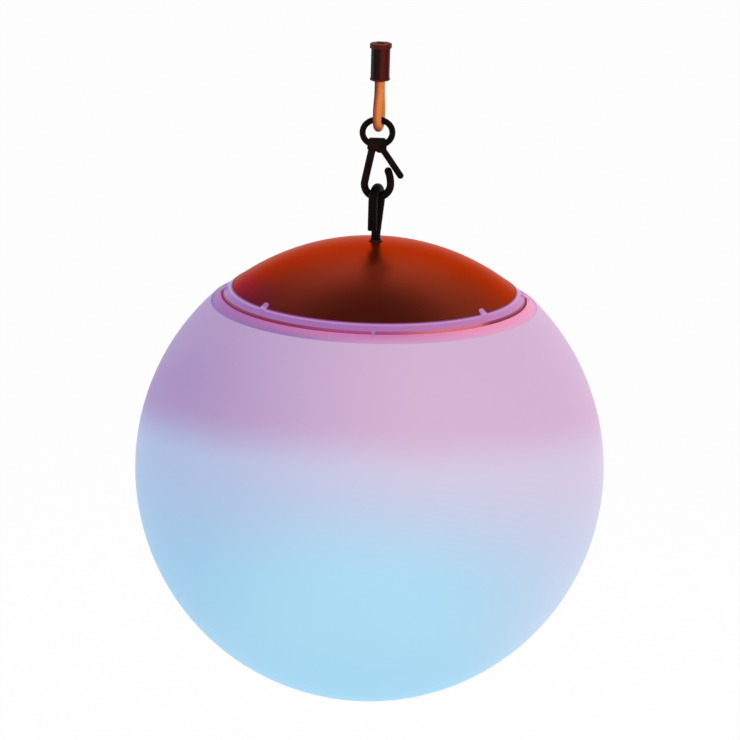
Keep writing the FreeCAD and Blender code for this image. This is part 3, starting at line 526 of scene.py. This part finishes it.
FINISHES = {
    "crimp_sleeve": dark_sleeve(),
    "cable_loop": cable_coat(),
    "hook_body": nylon,
    "hook_gate": nylon,
    "gate_pin": black_steel(),
    "cap_eye": black_steel(),
    "eye_seal": plain_plastic("black_seal_rubber", tone(34, 32, 32), tone(26, 24, 24), 0.7),
    "eye_washer": steel,
    "eye_nut": steel,
    "dome_cap": bronze_cap(),
    "collar_ring": collar(),
    "neck_gasket": gasket(),
    "module_tray": white,
    "tray_screws": steel,
    "battery_cells": cell_wrap(),
    "contact_springs": contacts,
    "contact_plates": contacts,
    "battery_cover": white,
    "cover_screws": steel,
    "mode_switch": chips,
    "mode_button": plain_plastic("grey_button", tone(112, 114, 120), tone(92, 94, 100)),
    "led_board": board,
    "led_emitters": lamp_face(),
    "led_lens": lens_plastic(),
    "lens_screws": steel,
    "driver_board": board,
    "driver_parts": chips,
    "board_screws": steel,
    "led_leads": leads,
    "battery_leads": leads,
    "neck_ring": neck_band(),
    "globe_shell": frosted_globe(),
}
for name, material in FINISHES.items():
    for slot in node[name].material_slots:
        slot.material = material


# ---- Floor, light and camera

def stage_floor():
    """A pale floor, white where the camera or a reflection sees it."""
    bpy.ops.object.select_all(action="DESELECT")
    bpy.ops.mesh.primitive_plane_add(size=14.0, location=(0.0, 2.0, GLOBE_Z - 0.62))
    floor = bpy.context.object
    floor.name = "studio_floor"
    bpy.ops.object.transform_apply(location=True, rotation=True, scale=True)
    finish = Finish("pale_floor")
    place = finish.spot()
    cloud = finish.noise(place, 3.0, 2.0)
    colour = finish.blend(cloud, (0.80, 0.80, 0.80), (0.84, 0.84, 0.84))
    plain = finish.add("ShaderNodeBsdfDiffuse", {}, {"Color": colour})
    white_face = finish.add("ShaderNodeEmission", {}, {"Color": WHITE, "Strength": 1.0})
    seen = sum(finish.add("ShaderNodeLightPath", {}, {}, kind) for kind in (
        "Is Camera Ray", "Is Glossy Ray", "Is Transmission Ray"))
    part = finish.add("ShaderNodeClamp", {}, {"Value": seen}) * 0.97
    mixed = finish.add("ShaderNodeMixShader", {}, {0: part, 1: plain, 2: white_face})
    floor.data.materials.append(finish.close(mixed))


# Brightness of the studio in reflections: by height, then by side
RISE_LEVELS = ((0.25, 1.0), (0.50, 0.88), (0.68, 0.66), (0.80, 0.58), (0.90, 0.16), (0.98, 0.06))
SIDE_LEVELS = ((0.20, 0.24), (0.44, 1.0), (0.56, 1.0), (0.80, 0.44))
SOFT_LIGHT = 0.55


def studio_world():
    """White to the eye, and in reflections white when level, dusky overhead and at the sides."""
    studio = Finish("studio", of_world=True)
    bpy.context.scene.world = studio.material
    way = studio.add("ShaderNodeTexCoord", {}, {}, "Generated")
    rise = studio.along(way, Z)
    levels = studio.grey_ramp(rise, RISE_LEVELS)
    sides = studio.grey_ramp(studio.along(way, X) * 0.5 + 0.5, SIDE_LEVELS)
    dusk = studio.blend(rise.step(0.0, 0.6), levels, sides, "MULTIPLY")

    def light(colour, strength):
        return studio.add("ShaderNodeBackground", {}, {"Color": colour, "Strength": strength})

    shown = light(WHITE, SOFT_LIGHT)
    bright = light(WHITE, 1.0)
    for kind, seen in (("Is Glossy Ray", light(dusk, 1.0)), ("Is Transmission Ray", bright),
                       ("Is Camera Ray", bright)):
        part = studio.add("ShaderNodeLightPath", {}, {}, kind)
        shown = studio.add("ShaderNodeMixShader", {}, {0: part, 1: shown, 2: seen})
    studio.add("ShaderNodeOutputWorld", {}, {"Surface": shown})


def lamp(name, place, aim, size, power):
    data = bpy.data.lights.new(name, "AREA")
    data.shape = "DISK"
    data.size = size
    data.energy = power
    made = bpy.data.objects.new(name, data)
    bpy.context.scene.collection.objects.link(made)
    made.location = place
    turn = (Vector(aim) - Vector(place)).to_track_quat("-Z", "Y")
    made.rotation_euler = turn.to_euler()
    made.visible_glossy = False
    made.visible_camera = False


def studio_camera():
    rise = math.radians(CAMERA_RISE)
    roll = math.radians(CAMERA_ROLL)
    centre = Vector((0.0, 0.0, GLOBE_Z))
    sight = Vector((0.0, math.cos(rise), -math.sin(rise)))
    level = Vector((1.0, 0.0, 0.0))
    upright = Vector((0.0, math.sin(rise), math.cos(rise)))
    right = level * math.cos(roll) + upright * math.sin(roll)
    up = upright * math.cos(roll) - level * math.sin(roll)
    held = Matrix((right, up, -sight)).transposed()
    half = FRAME_PIXELS / 2.0
    seen = Vector((GLOBE_PIXEL[0] - half, half - GLOBE_PIXEL[1], -PIXEL_FOCUS)).normalized()
    swing = seen.rotation_difference(Vector((0.0, 0.0, -1.0))).to_matrix()
    data = bpy.data.cameras.new("photo_view")
    data.sensor_width = 36.0
    data.lens = 36.0 * PIXEL_FOCUS / FRAME_PIXELS
    data.clip_start = 0.05
    data.clip_end = 60.0
    made = bpy.data.objects.new("photo_view", data)
    bpy.context.scene.collection.objects.link(made)
    made.matrix_world = Matrix.Translation(centre - sight * CAMERA_RANGE) @ (
        held @ swing).to_4x4()
    bpy.context.scene.camera = made


stage_floor()
studio_world()
lamp("key_lamp", (-0.9, -1.3, 0.9), (0.0, 0.0, GLOBE_Z), 0.9, 9.0)
lamp("fill_lamp", (1.2, -0.9, 0.3), (0.0, 0.0, GLOBE_Z), 1.0, 6.0)
lamp("rim_lamp", (0.6, 1.2, 0.5), (0.0, 0.0, -0.1), 0.5, 6.0)
studio_camera()
bpy.context.scene.view_settings.view_transform = "Standard"
